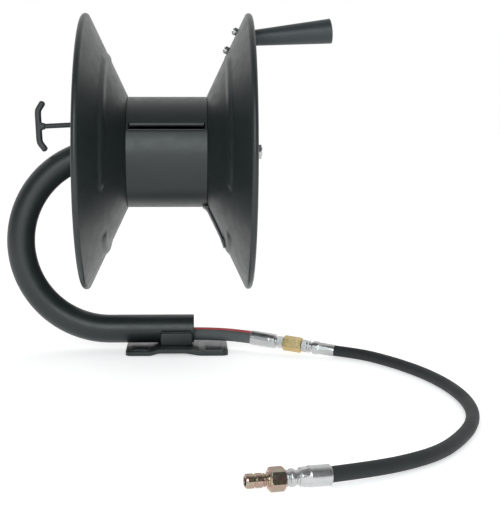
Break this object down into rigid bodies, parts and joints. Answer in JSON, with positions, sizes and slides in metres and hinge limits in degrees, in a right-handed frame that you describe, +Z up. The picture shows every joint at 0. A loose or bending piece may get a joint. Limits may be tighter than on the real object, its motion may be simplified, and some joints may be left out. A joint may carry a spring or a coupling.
{
  "type": "high-pressure hose reel",
  "caption": "Hose reel on a curved pipe arm with a flanged drum, hand crank, T-handled lock pin, inlet hose and short whip hose with a quick-connect plug.",
  "frame": {"origin": "centre of the base plate's underside", "axes": "+X along the drum's axle towards the crank, +Z up, -Y the front where the whip hose lies"},
  "size_m": [0.7021, 1.0083, 0.5741],
  "materials": {
    "black_coat": "satin black powder coat with fine orange peel",
    "dark_cast": "dark grey coated casting",
    "axle_steel": "turned steel",
    "zinc": "clear zinc plate",
    "yellow_zinc": "yellow iridescent zinc plate",
    "brass": "machined brass",
    "grey_hose": "grey hose cover with a red layline",
    "black_hose": "wrapped black hose cover",
    "seal_rubber": "smooth nitrile rubber",
    "bush_nylon": "natural nylon",
    "grip_plastic": "slate grey moulded plastic, fine grain"
  },
  "bodies": {
    "frame": {"base_plate": "black_coat", "front_lug": "black_coat", "rear_lug": "black_coat", "lug_welds": "black_coat", "arm_pipe": "black_coat", "arm_plug": "black_coat", "axle": "axle_steel", "thrust_washer": "axle_steel", "end_washer": "zinc", "axle_nut": "zinc", "pin_guide": "black_coat", "arm_fitting": "zinc", "arm_hose": "grey_hose", "inlet_hose": "grey_hose", "inlet_ferrule": "zinc", "inlet_nipple": "zinc", "brass_coupling": "brass", "whip_nipple": "zinc", "whip_ferrule_near": "zinc", "whip_hose": "black_hose", "whip_ferrule_far": "zinc", "plug_nut": "zinc", "quick_plug": "yellow_zinc"},
    "drum": {"drum_shell": "black_coat", "left_flange": "black_coat", "right_flange": "black_coat", "left_hub": "black_coat", "right_hub": "black_coat", "left_bush": "bush_nylon", "right_bush": "bush_nylon", "outer_bush": "bush_nylon", "lock_ring": "black_coat", "left_hub_bolts": "zinc", "left_hub_nuts": "zinc", "right_hub_bolts": "zinc", "right_hub_nuts": "zinc", "swivel_body": "brass", "swivel_seals": "seal_rubber", "swivel_outlet": "brass", "hose_strap": "black_coat", "crank_bracket": "black_coat", "bracket_bolts": "zinc", "bracket_nuts": "zinc", "grip_bolt": "zinc"},
    "lock_pin": {"lock_rod": "dark_cast", "t_handle": "dark_cast"},
    "grip": {"crank_grip": "grip_plastic"}
  },
  "joints": [
    {"name": "drum_spin", "type": "hinge", "parent": "frame", "child": "drum", "pos_m": [0, 0, 0.3393], "axis": [1, 0, 0], "continuous": true},
    {"name": "grip_spin", "type": "hinge", "parent": "drum", "child": "grip", "pos_m": [0.127, 0, 0.53215], "axis": [0.996, 0, 0.0889], "continuous": true},
    {"name": "lock_pin_slide", "type": "slide", "parent": "frame", "child": "lock_pin", "axis": [0.9988, 0, 0.0489], "range_m": [0, 0.012]}
  ]
}
